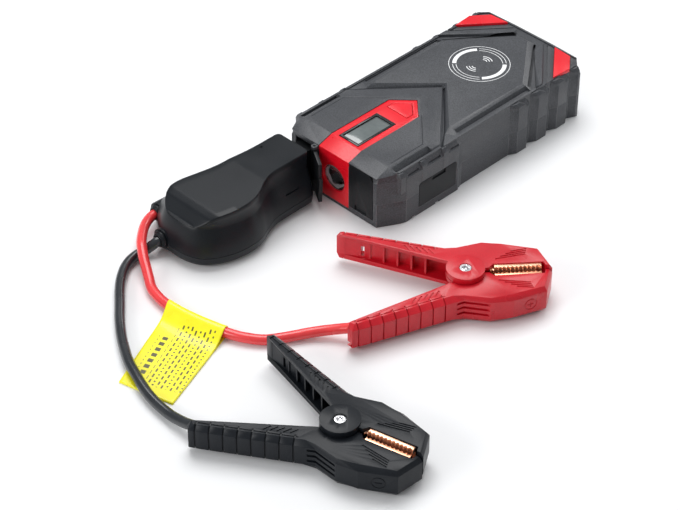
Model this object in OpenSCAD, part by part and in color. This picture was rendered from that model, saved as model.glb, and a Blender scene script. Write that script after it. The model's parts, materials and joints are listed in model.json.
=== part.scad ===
// Jump starter pack with its clamp lead set plugged in, laid out flat on a bench.
// Millimetres. The origin is the centre of the case's flat underside: +Y runs from
// the port end to the rear end, +X points to the side with the input ports, +Z is up.

/* [Case] */
// Length of the case
case_l = 190; // [186:1:194]
// Width of the case across its front block
case_w = 93.8; // [92:0.2:96]
// Height of the raised front hood
case_h = 41.4; // [41:0.1:42]
// Height of the joint between the two case shells
split_z = 17.6; // [16:0.2:19]

/* [Doors] */
// Thickness of the rubber port doors
door_t = 2.3; // [2:0.1:2.4]
// Angle at which the socket cover stands open beside the plug
cover_open = -32; // [-32:1:-26]

/* [Lead set] */
// Diameter of the two clamp cords
cord_d = 6.5; // [6:0.1:6.8]
// Height of the plug box
box_h = 40; // [39:0.5:41]

/* [Clamps] */
// Height of one clamp half, measured along the pivot
half_h = 18.4; // [18:0.1:18.6]
// Overall height of a clamp over its pivot bosses
clamp_h = 24; // [24:0.1:24.4]
// Moulding thickness of the clamp halves
clamp_t = 2.4; // [2:0.1:2.5]

/* [Hidden] */

$fn = 48;
eps = 0.01;

// ---- case ----
hl = case_l / 2;            // half length
hw = case_w / 2;            // half width of the front block
waist = hw - 2.1;           // half width in the recessed grip
peak = hw + 0.7;            // half width over the grip ribs
deck_z = 38.5;              // level of the recessed deck around the raised panels
rim_w = 44.3;               // half width of the deck
bevel_z = 34;               // height where the side bevel starts
bevel_y = -hl + 11.1;       // where the front bevel meets the hood
inner_w = 42.4;             // half width of the cavity
inner_top = 36.2;           // ceiling of the cavity
floor_z = 2.4;              // inside of the case floor
front_in = -hl + 4.8;       // inside of the front wall
cavity = [[38, front_in], [inner_w, front_in + 8.5], [inner_w, hl - 12], [36, hl - 5]];   // right half of the room inside
recess = 2.6;               // depth of the front face recesses
trim_w = 13.2;              // half width of the red strip
arrow_y = [-32, -19.4];     // shoulders and tip of the strip's arrow
rib_pitch = 19.5;           // spacing of the grip ribs
rib_y = 20.5;               // start of the first grip rib
screw_spots = [for (y = [-70, 6, 81.5], s = [-1, 1]) [s * 38.4, y]];

// ---- front face ----
lamp_z = 18.9;
lamp_r = 9;
usb_x = [13.8, 34.5];
usb_z = [4.1, 37];
side_y = [-65.8, -32];
side_z = [5.6, 24];
side_gap = 0.25;
socket_c = [-25.5, 20];     // centre of the jump socket in x and z
pin_gap = 6.6;              // each jump pin lies this far above or below the centre
pin_r = 2.5;
cover_axis = [-15.2, -hl - 2];
cover_l = 17;
plug_w = 13;
plug_h = 24;

// ---- lead set ----
part_z = 9;                 // joint between the plug box shells
waist_z = 27;               // crease between the plug box wall and its skirt
box_y = -hl - 11;           // plug end of the plug box
red_exit = [-61, -189];
black_exit = [-39.5, -205];
exit_z = 9.5;
red_route = [
    [-61, -189, 9.5], [-61, -193.5, 9.5], [-59.5, -198.5, 9.6], [-56, -204.5, 10], [-50.5, -211, 10.8],
    [-44.5, -217, 11.2], [-39, -221.2, 10.7], [-33.3, -225, 9], [-27, -228.5, 6.7], [-20.5, -232.2, 4.9],
    [-13, -236.5, 4], [-4, -239, 3.9], [6, -240, 3.9], [16, -239.3, 3.9], [27, -237.5, 3.9],
    [38, -235, 3.9], [48, -232.2, 3.9], [58, -227.8, 3.6], [68, -220.8, 3.4], [74, -213, 3.6],
    [78.5, -206, 3.9], [83, -198.5, 4.3], [88.5, -191.5, 5.2], [96, -185, 7.3], [103.4, -179.5, 9.7],
    [108.5, -172.2, 10.6], [112.4, -162.3, 10.6]
];
tag_from = 12;              // the tag is folded round the red cord between these route points
tag_to = 16;
black_route = [
    [-39.5, -205, 9.5], [-39.5, -209, 9.4], [-40.8, -213.2, 7.2], [-43, -217.8, 4.6], [-44, -223, 3.4],
    [-42.8, -229, 3.3], [-39.2, -236, 3.3], [-33, -244, 3.3], [-25.3, -251.5, 3.3], [-16.5, -259, 3.3],
    [-6, -268, 3.3], [6, -277, 3.3], [18, -284.5, 3.5], [28, -290, 4.1], [38, -294, 4.3],
    [48, -297.6, 4.3], [58, -300.4, 4.2], [68, -302, 4.1], [79, -302.8, 4.4], [90, -302.8, 6.3],
    [97.5, -302.5, 8.5], [105, -301.3, 10.2], [113, -297.3, 10.6], [121.5, -291.8, 10.6]
];
tag_edge = [[7, -241.4], [16, -240.8], [27, -239], [38, -236.5], [49.5, -233]];   // where the tag's leaves leave the cord
tag_end = [[34, -303], [70, -293.5]];       // its far corners
red_pivot = [122.9, -105.7];
red_turn = 49.7;
black_pivot = [163.3, -251.3];
black_turn = 14.5;

// ---- clamp half, in its own frame: pivot at the origin, nose along +X ----
hub_r = 11.75;
bore_r = 2.6;               // bore for the pivot sleeve
head_r = 3.5;               // pivot screw head and sleeve flange
half_z = clamp_h - 1.4 - half_h;             // underside of the upper half
// outline of a half at mid height and at its bevelled faces, point for point
half_out = [[52.6, 0.4], [47, 17.5], [26, 25], [12.5, 26], [-3, 21.8], [-10, 24.2], [-64, 42.8],
            [-71.5, 45], [-74, 41.4], [-20, 13.5], [-8, 7.5], [0, 5], [10, 0.4]];
half_face = [[50.6, 0.4], [45.5, 16], [24, 22.4], [12.5, 24.4], [-3, 20.8], [-10, 20.6], [-63, 39.2],
             [-70, 41.6], [-72.6, 39.4], [-20, 13.5], [-8, 7.5], [0, 5], [10, 0.4]];
bevel_h = 2.8;
jaw_u = [15, 46];                            // copper jaw, start and end
jaw_z = [6.8, 20];                           // and its lower and upper edges
tooth_pitch = 2.5;
coil_r = 7;
wire_r = 0.9;
short_leg = 6;              // spring leg that stays inside the hub of the moving half
long_leg = 18;              // spring leg along the fixed handle

// ================= helpers =================
function mirrored(p) = [for (i = [len(p) - 1:-1:0]) [-p[i][0], p[i][1]]];
function backwards(p) = [for (i = [len(p) - 1:-1:0]) p[i]];
function ring(p, z) = [for (q = p) [q[0], q[1], z]];
// One pass of corner cutting on a closed outline
function cut_corners(p) = [for (i = [0:len(p) - 1], t = [0.25, 0.75]) p[i] * (1 - t) + p[(i + 1) % len(p)] * t];
function smooth(p, n) = n == 0 ? p : smooth(cut_corners(p), n - 1);

// Solid through closed outlines that have the same number of points: levels = [[outline, z], ...]
module stack(levels) {
    n = len(levels[0][0]);
    m = len(levels) - 1;
    polyhedron(
        points = [for (q = levels) each ring(q[0], q[1])],
        faces = concat(
            [[for (i = [0:n - 1]) i]],
            [[for (i = [n - 1:-1:0]) m * n + i]],
            [for (k = [0:m - 1], i = [0:n - 1]) [k * n + (i + 1) % n, k * n + i, (k + 1) * n + i]],
            [for (k = [0:m - 1], i = [0:n - 1])
                [k * n + (i + 1) % n, (k + 1) * n + i, (k + 1) * n + (i + 1) % n]]
        )
    );
}

module slab(p, z0, z1) {
    translate([0, 0, z0]) linear_extrude(z1 - z0) polygon(p);
}

module block(x, y, z) {
    translate([x[0], y[0], z[0]]) cube([x[1] - x[0], y[1] - y[0], z[1] - z[0]]);
}

// Cylinder along +Y
module rod_y(x, y0, y1, z, r) {
    translate([x, y0, z]) rotate([-90, 0, 0]) cylinder(h = y1 - y0, r = r);
}

// Point on a Catmull-Rom curve through route p, t counted in segments
function spline(p, t) =
    let (
        n = len(p) - 1,
        i = min(floor(t), n - 1),
        u = t - i,
        a = p[max(i - 1, 0)], b = p[i], c = p[i + 1], d = p[min(i + 2, n)]
    )
    0.5 * (2 * b + (c - a) * u + (2 * a - 5 * b + 4 * c - d) * u * u + (3 * b - a - 3 * c + d) * u * u * u);
function unit(v) = v / norm(v);

// Round tube swept along a route, with its rings kept square to the path
module sweep(route, d, sides, steps) {
    n = len(route) - 1;
    rings = n * steps;
    pts = [
        for (k = [0:rings])
            let (
                t = k / steps,
                c = spline(route, t),
                dir = unit(spline(route, min(t + 0.05, n)) - spline(route, max(t - 0.05, 0))),
                side = unit(cross(dir, [0, 0, 1])),
                up = cross(side, dir)
            )
            for (j = [0:sides - 1]) c + d / 2 * (cos(360 * j / sides) * side + sin(360 * j / sides) * up)
    ];
    polyhedron(
        points = pts,
        faces = concat(
            [[for (j = [sides - 1:-1:0]) j]],
            [[for (j = [0:sides - 1]) rings * sides + j]],
            [for (k = [0:rings - 1], j = [0:sides - 1])
                [k * sides + j, k * sides + (j + 1) % sides, (k + 1) * sides + j]],
            [for (k = [0:rings - 1], j = [0:sides - 1])
                [(k + 1) * sides + j, k * sides + (j + 1) % sides, (k + 1) * sides + (j + 1) % sides]]
        )
    );
}

// ================= case =================
// Right half of the case outline, front to rear
function rib(k) =
    let (y = rib_y + rib_pitch * k)
    [[waist, y], [peak, y + 5.5], [peak, y + 14.5], [waist, y + 18.5]];
case_side = concat(
    [[hw - 9.1, -hl], [hw - 1.2, -hl + 14], [hw, -hl + 17.5], [hw, -30], [waist, -25]],
    rib(0), rib(1), rib(2),
    [[waist, rib_y + 3 * rib_pitch], [peak, rib_y + 3 * rib_pitch + 5.5], [peak, hl - 8.5],
     [hw - 8, hl - 2.8], [16, hl - 1], [7, hl]]
);
case_outline = concat(case_side, mirrored(case_side));
// The same outline drawn in to the edge of the deck
case_rim = [for (q = case_outline) [sign(q[0]) * min(abs(q[0]), rim_w), max(min(q[1], hl - 2), -hl + 3)]];
deck_outline = [for (q = case_outline) [sign(q[0]) * min(abs(q[0]), rim_w - 1.7), max(min(q[1], hl - 3.5), bevel_y)]];

// Right half of the front hood at its top, along its band and at its foot
hood_top = [[37, bevel_y], [37, -50.8], [0, -13.8]];
hood_band = [[40, bevel_y], [41.5, -42.5], [0, 3.8]];
hood_foot = [[43, bevel_y], [43, -41.5], [0, 5.4]];
// Half of the rear deck panel
panel_top = [[0, 8.5], [34, -25.5], [35, 43], [4, 82.5], [0, 82.5]];
panel_foot = [[0, 5], [35.5, -30.5], [41.5, -27], [41.5, 43.5], [7, 85.5], [0, 85.5]];
ridge_top = [[43.2, 46.5], [43.2, 52.5], [12.5, 88.5], [10, 86], [10, 83]];
accent = [[20.5, 91.2], [35.5, 90.2], [45, 78.5], [43.8, 62.5]];

module both_sides() {
    children();
    mirror([1, 0, 0]) children();
}

module hood() {
    hull() {
        slab(concat(hood_top, mirrored(hood_top)), case_h - eps, case_h);
        slab(concat(hood_band, mirrored(hood_band)), 40 - eps, 40);
        slab(concat(hood_foot, mirrored(hood_foot)), deck_z - eps, deck_z);
        block([-37.6, 37.6], [-hl, -hl + 1], [deck_z - 1, deck_z - 0.6]);
    }
}

// Rear panel over the charging coil, right half
module half_panel() {
    hull() {
        slab(panel_top, 41 - eps, 41);
        slab(panel_foot, deck_z - eps, deck_z);
    }
    hull() {
        slab(ridge_top, 40.4 - eps, 40.4);
        slab([[44, 46], [44, 53], [12.5, 90], [8.7, 87], [8.7, 83.4]], deck_z - eps, deck_z);
    }
}

module trim_plan(g) {
    polygon([[-trim_w - g, -hl - 1], [trim_w + g, -hl - 1], [trim_w + g, arrow_y[0]],
             [0, arrow_y[1] + 1.4 * g], [-trim_w - g, arrow_y[0]]]);
}

module usb_door(g, d) {
    translate([0, -hl + d, 0]) rotate([90, 0, 0]) linear_extrude(d + 0.2)
        polygon([[usb_x[0] - g, usb_z[0] - g], [usb_x[1] + g, usb_z[0] - g], [usb_x[1] + g, usb_z[1] - 3 + g],
                 [usb_x[1] - 3 + g, usb_z[1] + g], [usb_x[0] - g, usb_z[1] + g]]);
}

module side_door(g, x0, x1) {
    y = [side_y[0] - g, side_y[1] + g];
    z = [side_z[0] - g, side_z[1] + g];
    translate([x0, 0, 0]) rotate([90, 0, 90]) linear_extrude(x1 - x0)
        polygon([[y[0], z[0]], [y[1], z[0]], [y[1], z[1] - 1.5], [y[1] - 1.5, z[1]],
                 [y[0] + 1.5, z[1]], [y[0], z[1] - 1.5]]);
}

// Everything that is cut out of both shells: front trim, lamp, doors and ports
module case_cuts() {
    block([-trim_w - 0.1, trim_w + 0.1], [-hl - 1, -hl + recess], [1.9, 60]);
    block([-trim_w - 0.1, trim_w + 0.1], [-hl - 1, front_in - 0.2], [inner_top + 0.2, 60]);
    translate([0, 0, deck_z - 0.1]) linear_extrude(10) trim_plan(0.15);
    rod_y(0, -hl - 1, front_in + 1, lamp_z, lamp_r + 0.4);
    usb_door(side_gap, recess);
    for (x = [19.2, 29]) block([x - 3.3, x + 3.3], [-hl, front_in + 1], [11.6, 26.4]);
    side_door(side_gap, hw - door_t - 0.1, hw + 5);
    block([inner_w - 1, hw], [-60.9, -49.1], [9.6, 20.2]);
    block([inner_w - 1, hw], [-44.7, -34.9], [10.6, 15.2]);
    block([-37.2, -13.2], [-hl - 1, -hl + recess], [2.8, 37.4]);
    block([-34.1, -16.9], [-hl, front_in + 1], [5.7, 34.3]);
}

module upper_shell() {
    color("dimgray") resize([0, 0, 0]) difference() {
        union() {
            difference() {
                stack([[case_outline, split_z], [case_outline, bevel_z], [case_rim, deck_z], [case_rim, deck_z + 0.9]]);
                slab(deck_outline, deck_z, deck_z + 2);
                block([-60, 60], [-hl - 1, bevel_y + 0.5], [deck_z, deck_z + 2]);
            }
            hood();
            both_sides() half_panel();
        }
        difference() {
            slab(concat(cavity, mirrored(cavity)), split_z - 1, inner_top);
            for (p = screw_spots) translate([p[0], p[1], split_z]) cylinder(h = 30, r = 3.8);
        }
        for (p = screw_spots) translate([p[0], p[1], split_z - 1]) cylinder(h = 9.5, r = 1.25);
        block([-3.6, 3.6], [-35.4, -28.2], [inner_top - 1, 60]);
        both_sides() slab(accent, deck_z - 0.9, 60);
        case_cuts();
    }
}

module lower_shell() {
    color("dimgray") difference() {
        slab(case_outline, 0, split_z);
        difference() {
            slab(concat(cavity, mirrored(cavity)), floor_z, split_z + 1);
            for (p = screw_spots) translate([p[0], p[1], 0]) cylinder(h = split_z, r = 3.8);
        }
        for (p = screw_spots) translate([p[0], p[1], -1]) {
            cylinder(h = 30, r = 1.4);
            cylinder(h = 5.2, r = 2.7);
        }
        case_cuts();
    }
}

// Red strip that runs up the front face, over the bevel and along the hood
module front_trim() {
    top = case_h - 0.3;
    color("crimson") difference() {
        intersection() {
            rotate([90, 0, 90]) translate([0, 0, -20]) linear_extrude(40) polygon([
                [-hl, 2], [-hl, deck_z - 1], [bevel_y, top], [0, top], [0, deck_z], [front_in - 0.3, deck_z],
                [front_in - 0.3, inner_top + 0.3], [-hl + recess - 0.1, inner_top + 0.3], [-hl + recess - 0.1, 2]
            ]);
            linear_extrude(60) trim_plan(0);
        }
        rod_y(0, -hl - 1, -80, lamp_z, lamp_r + 0.4);
        block([-8.6, 8.6], [-82, -47.7], [deck_z - 1, 60]);
        slab(button_plan(0.3), deck_z - 1, 60);
    }
}

module corner_accents() {
    color("crimson") both_sides() slab(
        [[20.8, 90.9], [35.3, 89.9], [44.7, 78.4], [43.6, 63.3]], deck_z - 0.8, 40.2);
}

// ================= display and button =================
module lcd_frame() {
    color("black") difference() {
        block([-8.5, 8.5], [-81.9, -47.8], [deck_z, case_h]);
        block([-6.7, 6.7], [-79.8, -49.9], [deck_z - 1, 60]);
    }
}

module lcd_panel() {
    color("darkseagreen") block([-6.6, 6.6], [-79.7, -50], [deck_z, case_h - 0.8]);
}

function button_plan(g) = [
    [-8.8 - g, -37.9 - g], [8.8 + g, -37.9 - g], [8.8 + g, -32.8 + g / 2], [0, -24.6 + 1.4 * g], [-8.8 - g, -32.8 + g / 2]
];

module power_button() {
    color("crimson") union() {
        slab(button_plan(0), 39.6, case_h - 0.2);
        translate([0, -31.8, 39.2]) cylinder(h = 0.5, r = 2.4);
    }
}

module button_switch() {
    color("silver") union() {
        block([-3, 3], [-34.8, -28.8], [36, 38]);
        translate([0, -31.8, 37.9]) cylinder(h = 0.5, r = 1.7);
    }
}

module display_board() {
    color("darkgreen") block([-12, 12], [-84, -26], [34.4, 36]);
}

// ================= lamp =================
module lamp_lens() {
    color("whitesmoke") union() {
        rod_y(0, -hl + 1.4, -hl + 3.2, lamp_z, lamp_r);
        rod_y(0, -hl + 3.1, -hl + 4.2, lamp_z, lamp_r + 0.3);
    }
}

module lamp_reflector() {
    color("silver") translate([0, -hl + 4.3, lamp_z]) rotate([-90, 0, 0]) difference() {
        cylinder(h = 12, r = lamp_r + 0.2);
        translate([0, 0, -eps]) cylinder(h = 11, r1 = lamp_r - 0.6, r2 = 2.6);
        translate([0, 0, 5]) cylinder(h = 10, r = 2.6);
    }
}

module lamp_led() {
    color("gold") union() {
        rod_y(0, -hl + 16.4, -hl + 18, lamp_z, 8);
        rod_y(0, -hl + 14.6, -hl + 16.5, lamp_z, 2.2);
    }
}

// ================= ports and doors =================
module usb_cover() {
    color("#202226") difference() {
        intersection() {
            usb_door(0, recess - 0.15);
            block([0, 60], [-hl - 0.2, -hl + door_t], [0, 60]);
        }
        block([19, 29], [-hl - 1, -hl + 0.9], [usb_z[0] - 1, usb_z[0] + 4]);
        // relief behind the living hinge
        translate([0, -hl + 2.4, usb_z[1]]) rotate([45, 0, 0]) cube([90, 2, 2], center = true);
    }
}

module usb_socket(x) {
    difference() {
        block([x - 2.9, x + 2.9], [-hl + 3, -hl + 18], [12.4, 25.6]);
        block([x - 2.55, x + 2.55], [-hl + 2, -hl + 16], [12.75, 25.25]);
    }
    block([x - 0.9, x + 0.9], [-hl + 5, -hl + 16.5], [13.9, 24.1]);
}

module usb_ports() {
    color("silver") {
        usb_socket(19.2);
        usb_socket(29);
    }
}

module port_board() {
    color("darkgreen") block([13, 38], [-hl + 18, -hl + 19.6], [4, 29.8]);
}

module side_cover() {
    color("#202226") difference() {
        side_door(0, hw - door_t, hw + 0.1);
        block([hw - 1, hw + 1], [-54, -42], [side_z[1] - 3.2, side_z[1] + 1]);
    }
}

module dc_jack() {
    color("#303030") union() {
        difference() {
            block([31, 44.4], [-59.5, -50.5], [10.2, 19.6]);
            translate([36, -55, 14.9]) rotate([0, 90, 0]) cylinder(h = 20, r = 3.2);
        }
        translate([33, -55, 14.9]) rotate([0, 90, 0]) cylinder(h = 9, r = 1);
    }
}

module type_c_port() {
    color("silver") difference() {
        hull() for (y = [-42.6, -37]) translate([36.4, y, 12.9]) rotate([0, 90, 0]) cylinder(h = 8, r = 1.6, $fn = 32);
        hull() for (y = [-42.6, -37]) translate([38, y, 12.9]) rotate([0, 90, 0]) cylinder(h = 8, r = 1.2, $fn = 32);
    }
}

module input_board() {
    color("darkgreen") difference() {
        block([20, 42], [-65, -33], [8.6, 10.2]);
        block([30, 43], [-50, -45], [8, 11]);
    }
}

module socket_bezel() {
    color("#202226") union() {
        difference() {
            block([-37.1, -13.4], [-hl + 0.2, -hl + recess - 0.1], [2.9, 37.3]);
            block([-34, -17], [-hl - 1, 0], [5.8, 34.2]);
        }
        // lugs that carry the cover's pin
        for (z = [[2.9, 5], [35, 37.3]]) difference() {
            union() {
                translate([cover_axis[0], cover_axis[1], z[0]]) cylinder(h = z[1] - z[0], r = 2);
                block([cover_axis[0] - 2, -13.4], [cover_axis[1], -hl + 1], z);
            }
            translate([cover_axis[0], cover_axis[1], 0]) cylinder(h = 60, r = 1);
        }
    }
}

module jump_socket() {
    c = socket_c;
    color("#1d1f22") difference() {
        block([c[0] - 8.4, c[0] + 8.4], [-hl + recess + 0.1, -62], [c[1] - 14, c[1] + 14]);
        block([c[0] - plug_w / 2 - 0.3, c[0] + plug_w / 2 + 0.3], [-hl, -80], [c[1] - plug_h / 2 - 0.3, c[1] + plug_h / 2 + 0.3]);
        for (s = [-1, 1]) rod_y(c[0], -90, -64, c[1] + s * pin_gap, 3.4);
    }
}

module socket_contacts() {
    color("gold") for (s = [-1, 1]) difference() {
        rod_y(socket_c[0], -79.5, -64, socket_c[1] + s * pin_gap, 3.4);
        rod_y(socket_c[0], -80, -65.5, socket_c[1] + s * pin_gap, pin_r + 0.05);
    }
}

module socket_cover() {
    color("#202226") translate([cover_axis[0], cover_axis[1], 0]) rotate(cover_open) difference() {
        union() {
            translate([0, 0, 5.3]) cylinder(h = 29.4, r = 2);
            block([0, cover_l], [-1.2, 1.2], [5.3, 34.7]);
            block([cover_l - eps, cover_l + 2.4], [-1.2, 1.2], [15, 24]);
        }
        cylinder(h = 60, r = 1.05);
    }
}

module cover_pin() {
    color("silver") translate([cover_axis[0], cover_axis[1], 3.2]) cylinder(h = 33.8, r = 1);
}

// ================= inside of the case =================
module main_board() {
    color("darkgreen") block([-34, 34], [-59, 84], [29.9, 31.5]);
}

module charge_coil() {
    color("#b87333") union() {
        translate([0, 39.7, 33.6]) difference() {
            cylinder(h = 1.3, r = 21);
            translate([0, 0, -1]) cylinder(h = 4, r = 10);
        }
        translate([0, 39.7, 32.6]) cylinder(h = 1, r = 23);
    }
}

module battery_cells() {
    color("gainsboro") for (k = [0:3]) block([-31, 31], [-30, 83], [2.5 + 6.8 * k, 2.5 + 6.8 * k + 6.6]);
}

module bus_bars() {
    color("#b87333") for (s = [-1, 1]) {
        x = socket_c[0];
        z = socket_c[1] + s * pin_gap;
        block([x - 3, x + 3], [-61.8, -60.8], [z - 4, z + 4]);
        block([x - 3, x + 3], [-61, -30.1], [z - 0.5, z + 0.5]);
    }
}

module case_screws() {
    color("silver") for (p = screw_spots) translate([p[0], p[1], 0]) difference() {
        union() {
            translate([0, 0, 2]) cylinder(h = 2.1, r = 2.5);
            translate([0, 0, 4]) cylinder(h = 20, r = 1.2);
        }
        translate([0, 0, 1]) cylinder(h = 2, r = 1.1, $fn = 6);
    }
}

// ================= plug box =================
// Skirt outline at the joint, and the wall outline above the crease, point for point
skirt_pts = [
    [-12, box_y], [-6, box_y], [-6, -112], [-6, -125], [-5.5, -140], [-2, -149], [3.5, -160], [4.5, -172], [2, -186], [-5, -199],
    [-16, -205], [-32, -206], [-45, -204], [-56, -195], [-68, -186], [-69, -173], [-61, -158], [-50, -146],
    [-46, -130], [-46, -112], [-46, box_y], [-40, box_y]
];
wall_pts = [
    [-17, box_y], [-11, box_y], [-11, -112], [-11, -125], [-11, -139], [-8, -147], [-2, -157], [0, -167], [-2, -180], [-7, -192],
    [-17, -200], [-32, -201], [-44, -198], [-50, -190], [-50.5, -181], [-47, -170], [-43, -158], [-41, -147],
    [-39, -130], [-39, -112], [-39, box_y], [-33, box_y]
];
foot_pts = [for (q = skirt_pts) [q[0] * 0.92 - 4.2, q[1] * 0.97 - 2.4]];
// room inside both shells
box_room = [[-14.5, -110], [-14.5, -141], [-6.5, -156], [-5, -168], [-7, -180], [-12, -191], [-20, -196], [-32, -196.5],
            [-42, -193], [-46, -187], [-47, -180], [-44, -171], [-40, -158], [-37, -145], [-35.5, -130], [-35.5, -110]];
skirt = backwards(smooth(skirt_pts, 2));
wall = backwards(smooth(wall_pts, 2));
foot = backwards(smooth(foot_pts, 2));

// What the sloping roof takes off the plug box
module roof_cut() {
    rotate([90, 0, 90]) translate([0, 0, -90]) linear_extrude(120) polygon([
        [-146, box_h], [-187, box_h - 4], [-192, box_h - 6], [-212, 15], [-212, box_h + 5], [-146, box_h + 5]
    ]);
}

module exits(r) {
    for (p = [red_exit, black_exit]) {
        rod_y(p[0], p[1] - 1, p[1] + 8.2, exit_z, r);
        rod_y(p[0], p[1] - 12, p[1], exit_z, 5.8);
    }
}

module module_top() {
    color("#2c2f33") difference() {
        stack([[skirt, part_z], [wall, waist_z], [wall, box_h]]);
        roof_cut();
        slab(box_room, part_z - 1, 25);
        slab([[-15, -116], [-15, -142], [-10, -155], [-8, -168], [-10, -182], [-42, -182], [-42, -172], [-36.5, -146], [-35, -116]],
             part_z - 1, 34);
        block([-34, -17], [box_y - 6, box_y + 5], [5, 35]);
        exits(4.65);
    }
}

module module_base() {
    color("#2c2f33") resize([0, 0, 0]) difference() {
        stack([[foot, 0], [skirt, part_z - 0.2]]);
        slab(box_room, 2.2, part_z + 1);
        block([-34, -17], [box_y - 6, box_y + 5], [5, 35]);
        exits(4.65);
        for (p = box_screws) translate([p[0], p[1], -1]) cylinder(h = 2.2, r = 2.4);
    }
}

box_screws = [[-12, -113], [-40, -113], [-9, -188], [-50, -178]];

module module_screws() {
    color("silver") for (p = box_screws) translate([p[0], p[1], 0.3]) cylinder(h = 0.9, r = 2.3);
}

module module_plug() {
    c = socket_c;
    color("#1d1f22") difference() {
        union() {
            block([c[0] - plug_w / 2, c[0] + plug_w / 2], [box_y - 6, -80.4], [c[1] - plug_h / 2, c[1] + plug_h / 2]);
            block([c[0] - 7.4, c[0] + 7.4], [box_y - 5, -hl - 4.5], [c[1] - 13.6, c[1] + 13.6]);
        }
        for (s = [-1, 1]) rod_y(c[0], -110, -60, c[1] + s * pin_gap, pin_r);
    }
}

module plug_pins() {
    color("gold") for (s = [-1, 1]) rod_y(socket_c[0], -110, -66, socket_c[1] + s * pin_gap, pin_r);
}

module module_board() {
    color("darkgreen") slab([[-17, -118], [-17, -144], [-10, -158], [-9, -169], [-12, -181], [-20, -191],
                             [-32, -192], [-40, -188], [-42.5, -180], [-37.5, -160], [-34, -144], [-34, -118]], 12.5, 14.1);
}

module module_relay() {
    color("#1c2f6b") block([-32, -12], [-178, -158], [14.1, 29]);
}

module gland(p) {
    translate([p[0], p[1], exit_z]) rotate([90, 0, 0]) difference() {
        union() {
            translate([0, 0, -8]) cylinder(h = 8, r = 4.6);
            cylinder(h = 1.6, r = 5.6);
            translate([0, 0, 1.5]) cylinder(h = 1.8, r1 = 5, r2 = 4.3);
        }
        translate([0, 0, -10]) cylinder(h = 20, r = cord_d / 2 + 0.35);
    }
}

module red_gland() {
    color("#1a1a1a") gland(red_exit);
}

module black_gland() {
    color("#1a1a1a") gland(black_exit);
}

module red_cord() {
    color("red") sweep(red_route, cord_d, 10, 1);
}

module black_cord() {
    color("#25282c") sweep(black_route, cord_d, 10, 1);
}

module cable_tag() {
    color("yellow") resize([0, 0, 0]) difference() {
        union() {
            sweep([for (i = [tag_from:tag_to]) red_route[i]], cord_d + 1.2, 10, 1);
            slab(concat(tag_edge, [tag_end[1], tag_end[0]]), 0.05, 0.65);
        }
        sweep(red_route, cord_d + 0.3, 10, 1);
    }
}

// ================= clamps =================
// One moulded half. Both halves of a clamp are this part, one of them turned over.
module clamp_half() {
    z0 = half_z;
    z1 = half_z + half_h;
    resize([0, 0, 0]) difference() {
        union() {
            stack([[half_face, z0], [half_out, z0 + bevel_h], [half_out, z1 - bevel_h], [half_face, z1]]);
            translate([0, 0, z0]) cylinder(h = clamp_h - z0, r = hub_r);
        }
        // hollows: jaw, hub and grip channel
        slab([[4, 12], [8, 21], [13, 22.6], [24, 21], [43.6, 13.8], [46.4, 7.2], [14, 7.2], [8, 7.2]],
             z0 + clamp_t, z1 - clamp_t);
        block([8, 47], [-1, 4.9], [z0 + clamp_t, z1 - clamp_t]);
        translate([0, 0, z0 + clamp_t]) cylinder(h = half_h - 2 * clamp_t, r = 13.5);
        slab([[-6, 17.5], [-61.5, 36.6], [-69, 39], [-69, 20], [-6, -6]], z0 + clamp_t, z1 - clamp_t);
        // window that shows the copper
        slab([[13, -1], [17, 3.7], [47.5, 3.7], [49, -1]], z0 - 1, clamp_h);
        // pivot bore with a recess for the screw head
        translate([0, 0, -1]) cylinder(h = 60, r = bore_r);
        translate([0, 0, clamp_h - 1.8]) cylinder(h = 2, r = head_r + 0.4);
    }
}

// Toothed copper strip, folded to a channel
module clamp_jaw() {
    n = floor((jaw_u[1] - jaw_u[0]) / tooth_pitch);
    teeth = [for (i = [0:n - 1]) each [[jaw_u[0] + i * tooth_pitch, 0.3], [jaw_u[0] + (i + 0.5) * tooth_pitch, 1.5]]];
    lip = [for (i = [2:len(teeth) - 1]) teeth[i]];
    difference() {
        union() {
            translate([0, 0, jaw_z[0]]) linear_extrude(jaw_z[1] - jaw_z[0])
                polygon(concat([[jaw_u[0], 4.8]], teeth, [[jaw_u[1], 0.3], [jaw_u[1], 4.8]]));
            translate([0, 0, half_z + 0.6]) linear_extrude(half_h - 1.2)
                polygon(concat([[jaw_u[0] + tooth_pitch, 3.4]], lip, [[jaw_u[1], 0.3], [jaw_u[1], 3.4]]));
        }
        block([jaw_u[0] - 1, jaw_u[1] + 1], [-1, 3.6], [jaw_z[0] + 1.3, jaw_z[1] - 1.3]);
    }
}

module turned_over() {
    translate([0, 0, clamp_h]) rotate([180, 0, 0]) children();
}

module placed(pivot, turn) {
    translate([pivot[0], pivot[1], 0]) rotate(turn) children();
}

// Threaded sleeve with a flange below, and the screw that closes it above
module pivot_sleeve() {
    difference() {
        union() {
            translate([0, 0, 0.4]) cylinder(h = 1.35, r = head_r);
            translate([0, 0, 0.5]) cylinder(h = 21.5, r = bore_r - 0.15);
        }
        translate([0, 0, 3]) cylinder(h = 30, r = 1.5);
    }
}

module pivot_screw() {
    difference() {
        union() {
            translate([0, 0, clamp_h - 1.75]) cylinder(h = 1.35, r = head_r);
            translate([0, 0, 8]) cylinder(h = clamp_h - 9, r = 1.45);
        }
        for (a = [0, 60, 120]) rotate(a) block([-1.9, 1.9], [-0.45, 0.45], [clamp_h - 1.3, clamp_h]);
    }
}

module clamp_spring() {
    z0 = 8;
    pitch = 1.7;
    resize([0, 0, 0]) union() {
        for (k = [0:4]) translate([0, 0, z0 + pitch * k])
            rotate_extrude($fn = 32) translate([coil_r, 0]) circle(r = wire_r, $fn = 8);
        for (s = [-1, 1]) translate([0, s * coil_r, z0 + (s > 0 ? 4 * pitch : 0)]) rotate([0, -90, -s * 30])
            cylinder(h = s > 0 ? short_leg : long_leg, r = wire_r, $fn = 24);
    }
}

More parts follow.
